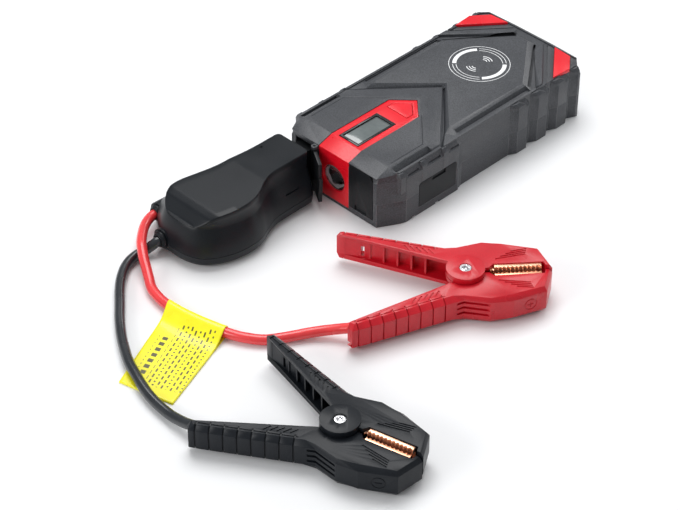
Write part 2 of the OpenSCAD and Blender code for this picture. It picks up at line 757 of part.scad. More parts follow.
module red_fixed_half() {
    color("firebrick") placed(red_pivot, red_turn) turned_over() clamp_half();
}

module red_moving_half() {
    color("firebrick") placed(red_pivot, red_turn) clamp_half();
}

module red_fixed_jaw() {
    color("#c96a3a") placed(red_pivot, red_turn) turned_over() clamp_jaw();
}

module red_moving_jaw() {
    color("#c96a3a") placed(red_pivot, red_turn) clamp_jaw();
}

module red_pivot_sleeve() {
    color("silver") placed(red_pivot, red_turn) pivot_sleeve();
}

module red_pivot_screw() {
    color("silver") placed(red_pivot, red_turn) pivot_screw();
}

module red_spring() {
    color("silver") placed(red_pivot, red_turn) clamp_spring();
}

module black_fixed_half() {
    color("#2a2d31") placed(black_pivot, black_turn) turned_over() clamp_half();
}

module black_moving_half() {
    color("#2a2d31") placed(black_pivot, black_turn) clamp_half();
}

module black_fixed_jaw() {
    color("#c96a3a") placed(black_pivot, black_turn) turned_over() clamp_jaw();
}

module black_moving_jaw() {
    color("#c96a3a") placed(black_pivot, black_turn) clamp_jaw();
}

module black_pivot_sleeve() {
    color("silver") placed(black_pivot, black_turn) pivot_sleeve();
}

module black_pivot_screw() {
    color("silver") placed(black_pivot, black_turn) pivot_screw();
}

module black_spring() {
    color("silver") placed(black_pivot, black_turn) clamp_spring();
}

// ================= output =================
upper_shell();
lower_shell();
front_trim();
corner_accents();
lcd_frame();
lcd_panel();
power_button();
button_switch();
display_board();
lamp_lens();
lamp_reflector();
lamp_led();
usb_cover();
usb_ports();
port_board();
side_cover();
dc_jack();
type_c_port();
input_board();
socket_bezel();
jump_socket();
socket_contacts();
socket_cover();
cover_pin();
main_board();
charge_coil();
battery_cells();
bus_bars();
case_screws();
module_top();
module_base();
module_plug();
plug_pins();
module_board();
module_relay();
module_screws();
red_gland();
black_gland();
red_cord();
black_cord();
cable_tag();
red_fixed_half();
red_moving_half();
red_fixed_jaw();
red_moving_jaw();
red_pivot_sleeve();
red_pivot_screw();
red_spring();
black_fixed_half();
black_moving_half();
black_fixed_jaw();
black_moving_jaw();
black_pivot_sleeve();
black_pivot_screw();
black_spring();
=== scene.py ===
"""Looks of the jump starter pack and its lead set. Scene in metres, lists of points in millimetres."""
import json
import math
import bpy
import bmesh
from mathutils import Matrix, Vector


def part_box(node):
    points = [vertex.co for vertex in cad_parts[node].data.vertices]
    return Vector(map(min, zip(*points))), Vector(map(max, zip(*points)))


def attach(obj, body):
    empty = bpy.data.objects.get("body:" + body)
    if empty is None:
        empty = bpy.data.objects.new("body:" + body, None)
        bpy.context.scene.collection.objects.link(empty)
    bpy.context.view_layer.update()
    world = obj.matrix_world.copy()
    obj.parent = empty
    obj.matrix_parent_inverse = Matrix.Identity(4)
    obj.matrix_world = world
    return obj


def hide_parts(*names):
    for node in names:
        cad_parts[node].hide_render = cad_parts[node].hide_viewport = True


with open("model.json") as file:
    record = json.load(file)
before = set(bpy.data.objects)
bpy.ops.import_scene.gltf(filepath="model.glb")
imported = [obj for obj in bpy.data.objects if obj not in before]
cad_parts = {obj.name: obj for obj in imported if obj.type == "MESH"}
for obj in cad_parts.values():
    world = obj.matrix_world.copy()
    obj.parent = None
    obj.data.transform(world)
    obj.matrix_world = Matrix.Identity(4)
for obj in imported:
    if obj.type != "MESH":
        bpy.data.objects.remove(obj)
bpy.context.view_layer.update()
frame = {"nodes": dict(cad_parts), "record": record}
nodes = frame["nodes"]
scene = bpy.context.scene
MM = 0.001

# ---------- camera, at the photograph's angle ----------
cam_data = bpy.data.cameras.new("camera")
cam_data.sensor_width = 36
cam_data.lens = 120.5
cam_data.clip_start, cam_data.clip_end = 0.01, 20
cam = bpy.data.objects.new("camera", cam_data)
cam.location = (0.8148, -0.8979, 0.8876)
cam.rotation_euler = (math.radians(90 - 39.15), 0, math.radians(45.22))
scene.collection.objects.link(cam)
scene.camera = cam
scene.view_settings.view_transform = "Standard"


# ---------- materials ----------
def add(t, kind, **inputs):
    """A new node in the tree, with its inputs set."""
    n = t.nodes.new(kind)
    for k, v in inputs.items():
        n.inputs[k.replace("_", " ")].default_value = v
    return n


def spread(t, value, low, high, start=0.3, end=0.7):
    """A value from low to high as value goes from start to end."""
    r = add(t, "ShaderNodeMapRange")
    for k, v in (("From Min", start), ("From Max", end), ("To Min", low), ("To Max", high)):
        r.inputs[k].default_value = v
    t.links.new(value, r.inputs["Value"])
    return r.outputs["Result"]


def surface(name, color, rough, vary=0.08, scale=900, bump=0.0, metal=0.0, coat=0.0, rough_vary=0.05,
            cloud=0.06, specular=0.5):
    """A moulded or rolled finish: fine grain and broad clouds vary its tone, roughness and relief."""
    m = bpy.data.materials.new(name)
    m.use_nodes = True
    t = m.node_tree
    b = t.nodes["Principled BSDF"]
    place = t.nodes.new("ShaderNodeTexCoord").outputs["Object"]
    grain = add(t, "ShaderNodeTexNoise", Scale=scale, Detail=3, Roughness=0.6)
    broad = add(t, "ShaderNodeTexNoise", Scale=45, Detail=2)
    for n in (grain, broad):
        t.links.new(place, n.inputs["Vector"])
    tone = t.nodes.new("ShaderNodeMath")
    tone.operation = "MULTIPLY"
    t.links.new(spread(t, grain.outputs["Fac"], 1 - vary, 1 + vary), tone.inputs[0])
    t.links.new(spread(t, broad.outputs["Fac"], 1 - cloud, 1 + cloud), tone.inputs[1])
    tint = t.nodes.new("ShaderNodeVectorMath")
    tint.operation = "SCALE"
    tint.inputs[0].default_value = color
    t.links.new(tone.outputs[0], tint.inputs["Scale"])
    t.links.new(tint.outputs[0], b.inputs["Base Color"])
    t.links.new(spread(t, broad.outputs["Fac"], max(0.02, rough - rough_vary), min(1, rough + rough_vary)),
                b.inputs["Roughness"])
    if bump:
        lift = add(t, "ShaderNodeBump", Strength=0.6, Distance=bump * MM)
        t.links.new(grain.outputs["Fac"], lift.inputs["Height"])
        t.links.new(lift.outputs["Normal"], b.inputs["Normal"])
    b.inputs["Metallic"].default_value = metal
    b.inputs["IOR"].default_value = 1.5
    b.inputs["Coat Weight"].default_value = coat
    b.inputs["Specular IOR Level"].default_value = specular
    return m


def painted_reflection_cup():
    """Polished cup whose colour holds painted reflections: a dark room with bright crescents in it."""
    m = surface("painted_reflection_cup", (1, 1, 1), 0.06, vary=0.05, metal=0.15)
    t = m.node_tree
    b = t.nodes["Principled BSDF"]
    place = t.nodes.new("ShaderNodeMapping")
    place.inputs["Location"].default_value = (0.0022, 0, -0.0172)      # centre of the rings
    t.links.new(t.nodes.new("ShaderNodeTexCoord").outputs["Object"], place.inputs["Vector"])
    rings = add(t, "ShaderNodeTexWave", Scale=70, Distortion=6.0, Detail=2)
    rings.wave_type = "RINGS"
    rings.rings_direction = "Y"
    t.links.new(place.outputs["Vector"], rings.inputs["Vector"])
    # painted reflection: the rings turn the base colour dark or bright, in place of real mirroring
    ramp = t.nodes.new("ShaderNodeValToRGB")
    dark, bright = ramp.color_ramp.elements
    dark.position, bright.position = 0.62, 0.70
    dark.color, bright.color = (0.012, 0.012, 0.013, 1), (0.95, 0.95, 0.95, 1)
    t.links.new(rings.outputs["Fac"], ramp.inputs["Fac"])
    t.links.new(ramp.outputs["Color"], b.inputs["Base Color"])
    return m


# the finishes, by the record's material slots
M = {
    "case": surface("case_plastic", (0.050, 0.053, 0.060), 0.38, vary=0.5, scale=1300, bump=0.06,
                    specular=0.42),
    "red_gloss": surface("red_plastic", (0.74, 0.005, 0.016), 0.30, vary=0.04, scale=700, bump=0.01),
    "black_gloss": surface("gloss_black", (0.012, 0.012, 0.014), 0.15, vary=0.2),
    "display_glass": surface("display", (0.11, 0.13, 0.13), 0.12, vary=0.1, scale=300, cloud=0.25, coat=1.0),
    "nickel": surface("nickel", (0.75, 0.75, 0.76), 0.22, metal=1),
    "circuit_board": surface("board", (0.02, 0.16, 0.06), 0.5, scale=300),
    "lens": surface("lens", (0.97, 0.98, 0.99), 0.03, vary=0.01, rough_vary=0.01, cloud=0.01),
    "mirror_chrome": painted_reflection_cup(),
    "led": surface("led", (0.85, 0.72, 0.25), 0.4, scale=2500, vary=0.2),
    "cover_rubber": surface("rubber", (0.010, 0.011, 0.013), 0.36, vary=0.25, scale=1300,
                            bump=0.03, specular=0.22),
    "connector_plastic": surface("connector_plastic", (0.010, 0.011, 0.012), 0.36, vary=0.2,
                                 bump=0.01, specular=0.22),
    "contact_brass": surface("gold_contact", (0.80, 0.58, 0.25), 0.3, metal=1),
    "copper": surface("copper", (0.97, 0.55, 0.36), 0.28, metal=0.85, scale=260, vary=0.1,
                      rough_vary=0.1, bump=0.02),
    "cell_wrap": surface("pouch", (0.55, 0.56, 0.58), 0.4, scale=80, metal=0.6, bump=0.1),
    "steel": surface("steel", (0.68, 0.68, 0.70), 0.24, metal=1, scale=400),
    "box_plastic": surface("box_plastic", (0.0085, 0.0105, 0.0135), 0.34, vary=0.2, scale=1500,
                           bump=0.02, specular=0.22),
    "relay_case": surface("relay_case", (0.01, 0.03, 0.12), 0.3),
    "red_sheath": surface("red_sheath", (0.80, 0.045, 0.05), 0.26, vary=0.05, scale=160, coat=0.4, bump=0.03),
    "black_sheath": surface("black_sheath", (0.012, 0.015, 0.019), 0.28, vary=0.12, scale=160,
                            coat=0.3, bump=0.03),
    "tag_yellow": surface("tag_card", (0.95, 0.87, 0.012), 0.3, vary=0.03, scale=300, bump=0.01, coat=0.2),
    "red_grip": surface("red_grip", (0.56, 0.005, 0.016), 0.32, vary=0.08, scale=1100, bump=0.02),
    "black_grip": surface("black_grip", (0.009, 0.011, 0.0145), 0.34, vary=0.25, scale=1500,
                          bump=0.03, specular=0.22),
}
M["lens"].node_tree.nodes["Principled BSDF"].inputs["Transmission Weight"].default_value = 1

# ---------- cords ----------
RED = [(-61, -189, 9.5), (-61, -193.5, 9.5), (-59.5, -198.5, 9.6), (-56, -204.5, 10), (-50.5, -211, 10.8),
       (-44.5, -217, 11.2), (-39, -221.2, 10.7), (-33.3, -225, 9), (-27, -228.5, 6.7), (-20.5, -232.2, 4.9),
       (-13, -236.5, 4), (-4, -239, 3.9), (6, -240, 3.9), (16, -239.3, 3.9), (27, -237.5, 3.9),
       (38, -235, 3.9), (48, -232.2, 3.9), (58, -227.8, 3.6), (68, -220.8, 3.4), (74, -213, 3.6),
       (78.5, -206, 3.9), (83, -198.5, 4.3), (88.5, -191.5, 5.2), (96, -185, 7.3), (103.4, -179.5, 9.7),
       (108.5, -172.2, 10.6), (112.4, -162.3, 10.6)]
BLACK = [(-39.5, -205, 9.5), (-39.5, -209, 9.4), (-40.8, -213.2, 7.2), (-43, -217.8, 4.6), (-44, -223, 3.4),
         (-42.8, -229, 3.3), (-39.2, -236, 3.3), (-33, -244, 3.3), (-25.3, -251.5, 3.3), (-16.5, -259, 3.3),
         (-6, -268, 3.3), (6, -277, 3.3), (18, -284.5, 3.5), (28, -290, 4.1), (38, -294, 4.3),
         (48, -297.6, 4.3), (58, -300.4, 4.2), (68, -302, 4.1), (79, -302.8, 4.4), (90, -302.8, 6.3),
         (97.5, -302.5, 8.5), (105, -301.3, 10.2), (113, -297.3, 10.6), (121.5, -291.8, 10.6)]
CORD_D = 6.5
ON_CLAMP = ("fixed_half", "moving_half", "fixed_jaw", "moving_jaw", "pivot_sleeve", "pivot_screw", "spring")


def spline(points, steps=8):
    """A Catmull-Rom curve through the points, in metres."""
    v = [Vector(p) * MM for p in points]
    out = []
    for i in range(len(v) - 1):
        a, b, c, d = v[max(i - 1, 0)], v[i], v[i + 1], v[min(i + 2, len(v) - 1)]
        for k in range(steps):
            u = k / steps
            out.append(0.5 * (2 * b + (c - a) * u + (2 * a - 5 * b + 4 * c - d) * u ** 2
                              + (3 * b - a - 3 * c + d) * u ** 3))
    return out + [v[-1]]


def lead(name, points, radius, material):
    """A round cord along the points."""
    cu = bpy.data.curves.new(name, "CURVE")
    cu.dimensions = "3D"
    cu.bevel_depth = radius
    cu.bevel_resolution = 6
    cu.use_fill_caps = True
    sp = cu.splines.new("POLY")
    sp.points.add(len(points) - 1)
    for p, q in zip(sp.points, points):
        p.co = (*q, 1)
    sp.use_smooth = True
    o = bpy.data.objects.new(name, cu)
    scene.collection.objects.link(o)
    cu.materials.append(material)
    return o


cords = {}
for key, route in (("red", RED), ("black", BLACK)):
    points = spline(route)
    cords[key] = lead(f"{key}_lead", points, CORD_D / 2 * MM, M[key + "_sheath"])
    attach(cords[key], "cable_set")
    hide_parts(f"{key}_cord")


# ---------- mesh tools ----------
def solid(name, verts, faces):
    """A closed mesh from points in millimetres, with its normals outward."""
    me = bpy.data.meshes.new(name)
    me.from_pydata([Vector(v) * MM for v in verts], [], faces)
    bm = bmesh.new()
    bm.from_mesh(me)
    bmesh.ops.recalc_face_normals(bm, faces=bm.faces)
    bm.to_mesh(me)
    bm.free()
    o = bpy.data.objects.new(name, me)
    scene.collection.objects.link(o)
    return o


def skin(rings):
    """Points and faces of a solid through rings of points with the same count, with flat ends."""
    n = len(rings[0])
    verts = [p for r in rings for p in r]
    faces = [tuple(range(n)), tuple(range((len(rings) - 1) * n, len(rings) * n))]
    for k in range(len(rings) - 1):
        for i in range(n):
            j = (i + 1) % n
            faces.append((k * n + i, k * n + j, (k + 1) * n + j, (k + 1) * n + i))
    return verts, faces


def prism(plan, z0, z1):
    """An upright solid on a plan."""
    return skin([[(x, y, z) for x, y in plan] for z in (z0, z1)])


def box(x, y, z):
    """A block between two values on each axis."""
    return prism([(x[0], y[0]), (x[1], y[0]), (x[1], y[1]), (x[0], y[1])], *z)


def moved(shape, matrix):
    return [matrix @ Vector(v) for v in shape[0]], shape[1]


def flipped(shape):
    """The shape on the other side of the plane X = 0."""
    return [(-v[0], v[1], v[2]) for v in shape[0]], shape[1]


def both(shapes):
    """The shapes and their mirror images."""
    return [t for q in shapes for t in (q, flipped(q))]


def rod(a, b, radius, sides=32):
    """A cylinder from a to b."""
    a, b = Vector(a), Vector(b)
    turn = (b - a).to_track_quat("Z", "Y").to_matrix()
    angles = [math.tau * i / sides for i in range(sides)]
    ring = [turn @ Vector((radius * math.cos(t), radius * math.sin(t), 0)) for t in angles]
    return skin([[a + p for p in ring], [b + p for p in ring]])


def hoop(inner, outer, z0, z1, sides=40, start=0, sweep=360):
    """A flat ring, or an arc of one, around the origin."""
    whole = sweep >= 360
    count = sides if whole else sides + 1
    verts, faces = [], []
    for i in range(count):
        a = math.radians(start + sweep * i / sides)
        for r, z in ((inner, z0), (outer, z0), (outer, z1), (inner, z1)):
            verts.append((r * math.cos(a), r * math.sin(a), z))
    for i in range(sides):
        j = (i + 1) % count
        for k in range(4):
            m = (k + 1) % 4
            faces.append((4 * i + k, 4 * i + m, 4 * j + m, 4 * j + k))
    if not whole:
        faces += [(0, 1, 2, 3), tuple(4 * sides + k for k in range(4))]
    return verts, faces


def groove(path, width, depth):
    """A V-shaped cutter whose lower edge runs depth under the path."""
    rings = []
    for i, p in enumerate(path):
        p = Vector(p)
        d = (Vector(path[min(i + 1, len(path) - 1)]) - Vector(path[max(i - 1, 0)])).normalized()
        side = d.cross(Vector((0, 0, 1))).normalized() * width
        down = Vector((0, 0, -depth))
        rings.append([p + down, p + side, p - down, p - side])
    return skin(rings)


def joined(shapes):
    """Several shapes as one."""
    verts, faces = [], []
    for v, f in shapes:
        faces += [tuple(i + len(verts) for i in q) for q in f]
        verts += list(v)
    return verts, faces


def applied(o):
    """Applies o's modifiers to its mesh."""
    me = bpy.data.meshes.new_from_object(o.evaluated_get(bpy.context.evaluated_depsgraph_get()))
    o.modifiers.clear()
    o.data = me
    return o


def carve(o, shapes, operation="DIFFERENCE"):
    """Cuts the shapes from o, or adds them to it; shapes that overlap each other need a call each."""
    tool = solid("tool", *joined(shapes))
    m = o.modifiers.new("carve", "BOOLEAN")
    m.operation = operation
    m.object = tool
    m.solver = "MANIFOLD"
    count = len(o.data.polygons)
    bpy.context.view_layer.update()
    result = o.evaluated_get(bpy.context.evaluated_depsgraph_get())
    if len(result.data.polygons) < 6 or len(result.data.polygons) == count:
        m.solver = "EXACT"                          # the fast solver refused these shapes
    applied(o)
    bpy.data.objects.remove(tool)
    return o


def weld(o):
    """Joins points that lie less than 0.01 mm apart."""
    o.modifiers.new("weld", "WELD").merge_threshold = 0.01 * MM


def cad_copy(node, name):
    """A copy of a CAD node's mesh, to work further on."""
    o = bpy.data.objects.new(name, nodes[node].data.copy())
    scene.collection.objects.link(o)
    weld(o)
    return applied(o)


def edges(o, width, angle=15, edge_highlight=None):
    """Rounds o's edges and shades it smooth between them; the last argument is a lighter finish for the
    rounded edges, a painted highlight.
    """
    weld(o)
    d = o.modifiers.new("flat_faces", "DECIMATE")
    d.decimate_type = "DISSOLVE"
    d.angle_limit = math.radians(0.8)
    bv = o.modifiers.new("bevel", "BEVEL")
    bv.width = width * MM
    bv.segments = 2
    bv.limit_method = "ANGLE"
    bv.angle_limit = math.radians(angle)
    bv.harden_normals = True
    # the rounded edges take the given finish, which paints a highlight on them
    if edge_highlight:
        o.data.materials.append(edge_highlight)
        bv.material = len(o.data.materials) - 1
    for p in o.data.polygons:
        p.use_smooth = True


def piece(o, slot, body, *replaced, material=None):
    """Gives a piece its finish, its body and the CAD nodes that it stands for."""
    o.data.materials.clear()
    o.data.materials.append(material or M[slot])
    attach(o, body)
    if replaced:
        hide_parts(*replaced)
    return o


# ---------- CAD nodes that stay as they are ----------
for part in frame["record"]["subparts"]:
    o = nodes[part["node"]]
    o.data.materials.clear()
    o.data.materials.append(M[part["material_slot"]])
    edges(o, 0.25, angle=60 if part["node"].endswith("spring") else 15)

# ---------- case ----------
CASE_H = 41.4
IN_WALL = 43                # lumps on the side start here, inside the wall
FRONT_BOLSTERS = (-83.5, -64.5, -45)
RIBS = ((20.5, 12), (40, 12), (59.5, 12), (79, 6.9))         # each rib's start along Y, and its reach
POCKETS = ((-77, -65.5), (-58, -46), (-38.5, -29))
NOTCHES = (-70, -49, -27.5)
CASE_EDGE = 0.38


def bolster(plan, top, z0, z1):
    """A lump on the case's side: its plan below, and the smaller plan of its chamfered top."""
    levels = ((plan, z0), (plan, z1 - 2.6), (top, z1))
    return skin([[(x, y, z) for x, y in outline] for outline, z in levels])


def front_bolster(y):
    """A short lump beside the hood."""
    plan = [(IN_WALL, y), (47.0, y + 0.8), (47.0, y + 5.2), (IN_WALL, y + 5.8)]
    top = [(IN_WALL, y + 0.6), (45.4, y + 1.2), (45.4, y + 4.6), (IN_WALL, y + 5)]
    return bolster(plan, top, 24.5, 38.9)


def rib_bolster(y, reach):
    """The head of a grip rib, which ends in a chamfer at the deck's rim."""
    short = min(reach, 7)
    plan = [(IN_WALL, y - 0.6), (44.8, y + 0.1), (47.55, y + 5.5), (47.55, y + reach),
            (IN_WALL, y + reach + 1)]
    top = [(IN_WALL, y), (44.6, y + 0.7), (45.9, y + 4.4), (45.9, y + short), (IN_WALL, y + short + 1)]
    return bolster(plan, top, 30, 38.7)


def channel(path, flank, floor, depth_z):
    """A cutter along the path: a flank that slopes out and down to a flat floor."""
    up = CASE_H + 0.6
    rings = []
    for i, p in enumerate(path):
        a, b = Vector(path[max(i - 1, 0)]), Vector(path[min(i + 1, len(path) - 1)])
        d = (b - a).normalized()
        side = Vector((d.y, -d.x))
        p = Vector(p)
        rows = ((0, up), (flank, depth_z), (flank + floor, depth_z), (flank + floor, up))
        rings.append([(*(p + side * n), z) for n, z in rows])
    return skin(rings)


upper = cad_copy("upper_shell", "case_upper")
carve(upper, both([front_bolster(y) for y in FRONT_BOLSTERS]), "UNION")
carve(upper, both([rib_bolster(*r) for r in RIBS]), "UNION")
# the steep flank of the hood, and the channels round the rear panel
carve(upper, both([channel([(37.6, -82.5), (37.6, -50.5)], 3.4, 1.6, 37.3)]))
carve(upper, both([channel([(36.2, -25), (36.2, 43.2)], 2.6, 3.2, 37.5)]))
carve(upper, both([channel([(36.8, 43.8), (6.3, 83.6)], 2.0, 1.4, 38.1)]))
carve(upper, both([channel([(43.9, 54.5), (14.2, 89.6)], 0.9, 0.8, 38.0)]))
carve(upper, both([groove([(-44.2, -43.2, 39.4), (-33, -28.6, 39.6), (-0.9, 4.8, 39.6)], 1.1, 2.2)]))
# fine lines on the hood, and the pockets between the bolsters
inner = [(x, y, CASE_H + 0.02) for x, y in ((35.4, -80), (35.4, -51.4), (13.7, -29.6))]
carve(upper, both([groove(inner, 0.3, 0.35)]))
for y0, y1 in POCKETS:
    carve(upper, both([prism([(45.5, y0 + 1.6), (50, y0), (50, y1), (45.5, y1 - 0.4)], 34.6, 36.2)]))
piece(upper, "case", "pack", "upper_shell")
# painted highlight: a lighter finish on every rounded edge of the case
painted_edge_highlight = surface("case_edge_painted_highlight", (0.15, 0.155, 0.165), 0.3, vary=0.15, scale=1300)
edges(upper, CASE_EDGE, edge_highlight=painted_edge_highlight)

lower = cad_copy("lower_shell", "case_lower")
carve(lower, both([box((45.6, 50), (y - 1.6, y + 1.6), (-1, 1.2)) for y in NOTCHES]))
piece(lower, "case", "pack", "lower_shell")
edges(lower, CASE_EDGE, edge_highlight=painted_edge_highlight)

# the charging mark on the rear panel
MARK_AT = (0, 39.7, 0)
INK = (41.0, 41.03)                                 # lower and upper side of the print
arcs = [hoop(20.0, 20.4, *INK, sides=96)]
for a in (0, 180):
    arcs.append(hoop(15.2, 17.9, *INK, start=a - 42, sweep=84))
    arcs.append(hoop(17.5, 17.9, *INK, start=a + 47, sweep=86))
    arcs.append(hoop(15.2, 15.6, *INK, start=a + 47, sweep=86))
for side, start in ((1, 50), (-1, 230)):
    for r in (2.4, 4.2, 6.0):
        wave = hoop(r, r + 0.6, *INK, start=start, sweep=80, sides=16)
        arcs.append(moved(wave, Matrix.Translation((0, 3.2 * side, 0))))
mark = solid("charge_mark", *moved(joined(arcs), Matrix.Translation(MARK_AT)))
piece(mark, "case", "pack", material=surface("pale_ink", (0.82, 0.83, 0.84), 0.5, vary=0.1, scale=1200))

# ---------- plug box ----------
BOX_Y, PART_Z, WAIST_Z, BOX_H = -106, 9, 27, 40
# the skirt's outline at the joint, the wall's above the crease, and the room inside
SKIRT = [(-12, BOX_Y), (-6, BOX_Y), (-6, -112), (-6, -125), (-5.5, -140), (-2, -149), (3.5, -160),
         (4.5, -172), (2, -186), (-5, -199), (-16, -205), (-32, -206), (-45, -204), (-56, -195), (-68, -186),
         (-69, -173), (-61, -158), (-50, -146), (-46, -130), (-46, -112), (-46, BOX_Y), (-40, BOX_Y)]
WALL = [(-17, BOX_Y), (-11, BOX_Y), (-11, -112), (-11, -125), (-11, -139), (-8, -147), (-2, -157),
        (0, -167), (-2, -180), (-7, -192), (-17, -200), (-32, -201), (-44, -198), (-50, -190), (-50.5, -181),
        (-47, -170), (-43, -158), (-41, -147), (-39, -130), (-39, -112), (-39, BOX_Y), (-33, BOX_Y)]
ROOM = [(-14.5, -110), (-14.5, -141), (-6.5, -156), (-5, -168), (-7, -180), (-12, -191), (-20, -196),
        (-32, -196.5), (-42, -193), (-46, -187), (-47, -180), (-44, -171), (-40, -158), (-37, -145),
        (-35.5, -130), (-35.5, -110)]
EXIT_Z = 9.5
EXITS = ((-61, -189), (-39.5, -205))


def rounded(points, passes=4):
    """A closed outline with its corners cut again and again."""
    p = [Vector(q) for q in points]
    for _ in range(passes):
        following = p[1:] + p[:1]
        p = [a.lerp(b, share) for a, b in zip(p, following) for share in (0.25, 0.75)]
    return p


def roof(y):
    """Height of the box's top along its length."""
    marks = ((-212, 15), (-192, BOX_H - 6), (-187, BOX_H - 4), (-146, BOX_H), (0, BOX_H))
    for (a, za), (b, zb) in zip(marks, marks[1:]):
        if y <= b:
            return za + (zb - za) * (y - a) / (b - a)
    return BOX_H


skirt, wall = rounded(SKIRT), rounded(WALL)
# share of the way from skirt to wall, and the height, up the side
PROFILE = ((0, PART_Z + 0.1), (0.05, 11), (0.2, 15), (0.47, 20), (0.8, 24.6), (0.97, 26.6), (1.02, 27.4),
           (1.07, 31), (1.06, 35.2), (1.0, 36.2), (0.99, 38.2), (1.01, 39.2), (1.05, 39.75), (1.12, BOX_H))


def box_ring(share, z):
    """A level of the box's side; above the crease it sinks with the roof."""
    out = []
    for a, b in zip(skirt, wall):
        p = a.lerp(b, share)
        top = max(roof(p.y), WAIST_Z + 1)
        high = z if z <= WAIST_Z else WAIST_Z + (z - WAIST_Z) * (top - WAIST_Z) / (BOX_H - WAIST_Z)
        out.append(Vector((p.x, p.y, high)))
    return out


def lidded(rings, columns=10):
    """Skin through the rings, with a flat floor and a lid of strips across that follows the roof."""
    n = len(rings[0])
    verts, faces = skin(rings)
    faces = [faces[0]] + faces[2:]
    base = (len(rings) - 1) * n
    rows = []
    for i in range(n // 2):
        a, b = base + i, base + n - 1 - i
        row = [a]
        for c in range(1, columns):
            p = Vector(verts[a]).lerp(Vector(verts[b]), c / columns)
            row.append(len(verts))
            verts.append((p.x, p.y, max(roof(p.y), WAIST_Z + 1)))
        rows.append(row + [b])
    for q, r in zip(rows, rows[1:]):
        for c in range(columns):
            faces.append((q[c], q[c + 1], r[c + 1], r[c]))
    faces.append(tuple(rows[0][::-1]))
    faces.append(tuple(rows[-1]))
    return verts, faces


def half_pipe(x, y, up, radius=7.0, length=26):
    """The bulge over a gland, above or below the joint."""
    arc = [math.pi * i / 16 for i in range(17)]
    rings = []
    for k in range(9):
        t = k / 8
        r = radius * (1 - 0.12 * t) * math.sqrt(max(1 - max(0, (t - 0.6) / 0.42) ** 2, 0.02))
        half = [(x + r * math.cos(a), PART_Z + up * (0.1 + r * math.sin(a))) for a in arc]
        rings.append([(px, y + length * t, pz) for px, pz in half])
    return skin(rings)


top = solid("box_upper", *lidded([box_ring(*q) for q in PROFILE]))
base = [[(v.x * 0.915 - 4.4, v.y * 0.966 - 3.0, 0) for v in skirt],
        [(v.x * 0.92 - 4.2, v.y * 0.97 - 2.4, 0.8) for v in skirt]]
for t in (0.15, 0.35, 0.6, 0.8, 0.93, 1.0):
    base.append([(v.x * (0.92 + 0.08 * t) - 4.2 * (1 - t), v.y * (0.97 + 0.03 * t) - 2.4 * (1 - t),
                  0.8 + 8.0 * (1 - math.sqrt(1 - t * t) if t < 1 else 1)) for v in skirt])
bottom = solid("box_lower", *skin(base))
carve(top, [half_pipe(x, y, 1) for x, y in EXITS], "UNION")
carve(bottom, [half_pipe(x, y, -1, radius=6.4) for x, y in EXITS], "UNION")
carve(top, [prism(ROOM, 5, 24)])
carve(bottom, [prism(ROOM, 2.2, 12)])
for o in (top, bottom):
    carve(o, [box((-34, -17), (BOX_Y - 6, BOX_Y + 5), (5, 35))])
    carve(o, [rod((x, y - 3, EXIT_Z), (x, y + 8.2, EXIT_Z), 4.65) for x, y in EXITS])
    carve(o, [rod((x, y - 14, EXIT_Z), (x, y, EXIT_Z), 5.9) for x, y in EXITS])
# slot in the neck for a tie
carve(top, [box((-8.6, 0), (-129, -118), (18.4, 19.8))])
BOX_SCREWS = ((-12, -113), (-40, -113), (-9, -188), (-50, -178))
carve(bottom, [rod((x, y, -1), (x, y, 1.2), 2.4) for x, y in BOX_SCREWS])
piece(top, "box_plastic", "cable_set", "module_top")
piece(bottom, "box_plastic", "cable_set", "module_base")


def shade(o, angle=28):
    """Smooth shading, broken at edges sharper than the angle."""
    bm = bmesh.new()
    bm.from_mesh(o.data)
    for e in bm.edges:
        e.smooth = len(e.link_faces) == 2 and e.calc_face_angle(0) < math.radians(angle)
    for f in bm.faces:
        f.smooth = True
    bm.to_mesh(o.data)
    bm.free()


for o in (top, bottom):
    shade(o)
# small lamp on the neck
dot = solid("status_lamp", *rod((-35, -124, 39.9), (-35, -124, 40.0), 0.8, 20))
piece(dot, "lens", "cable_set", material=surface("status_lens", (0.10, 0.11, 0.12), 0.15, vary=0.2))

# ---------- clamps ----------
CLAMP_H, HALF_Z0, HALF_Z1 = 24, 4.2, 22.6
GRIP_EDGE = 0.35
BACK = Vector((-54, 18.6, 0)).normalized()          # along the grip, towards its tail
OUT = Vector((BACK.y, -BACK.x, 0))                  # out of the grip's side
GRIP_AT = Vector((-10, 24.2, 0))


def on_grip(s, n, z):
    """A point s along the grip, n out of its side and z up."""
    return GRIP_AT + BACK * s + OUT * n + Vector((0, 0, z))


def slice_of(section, ends):
    """A solid on the grip: a section across it in (n, z), from one place to another along it."""
    return skin([[on_grip(s, n, z) for n, z in section] for s in ends])


def grip_cut(s, width=0.9, depth=1.0):
    """A groove round the grip's side and both of its bevels."""
    z0, z1 = HALF_Z0, HALF_Z1
    outline = [(-depth, z0 + 3.1), (-depth, z1 - 3.1), (-4.1, z1 - 0.75), (-6.2, z1 - 0.5), (-6.2, z1 + 1),
               (2, z1 + 1), (2, z0 - 1), (-6.2, z0 - 1), (-6.2, z0 + 0.5), (-4.1, z0 + 0.75)]
    return slice_of(outline, (s - width / 2, s + width / 2))


def bar(u, v, angle, size, z):
    """A short groove in a clamp's face."""
    w = size[1] / 2
    turn = Matrix.Translation((u, v, 0)) @ Matrix.Rotation(math.radians(angle), 4, "Z")
    return moved(box((0, size[0]), (-w, w), z), turn)


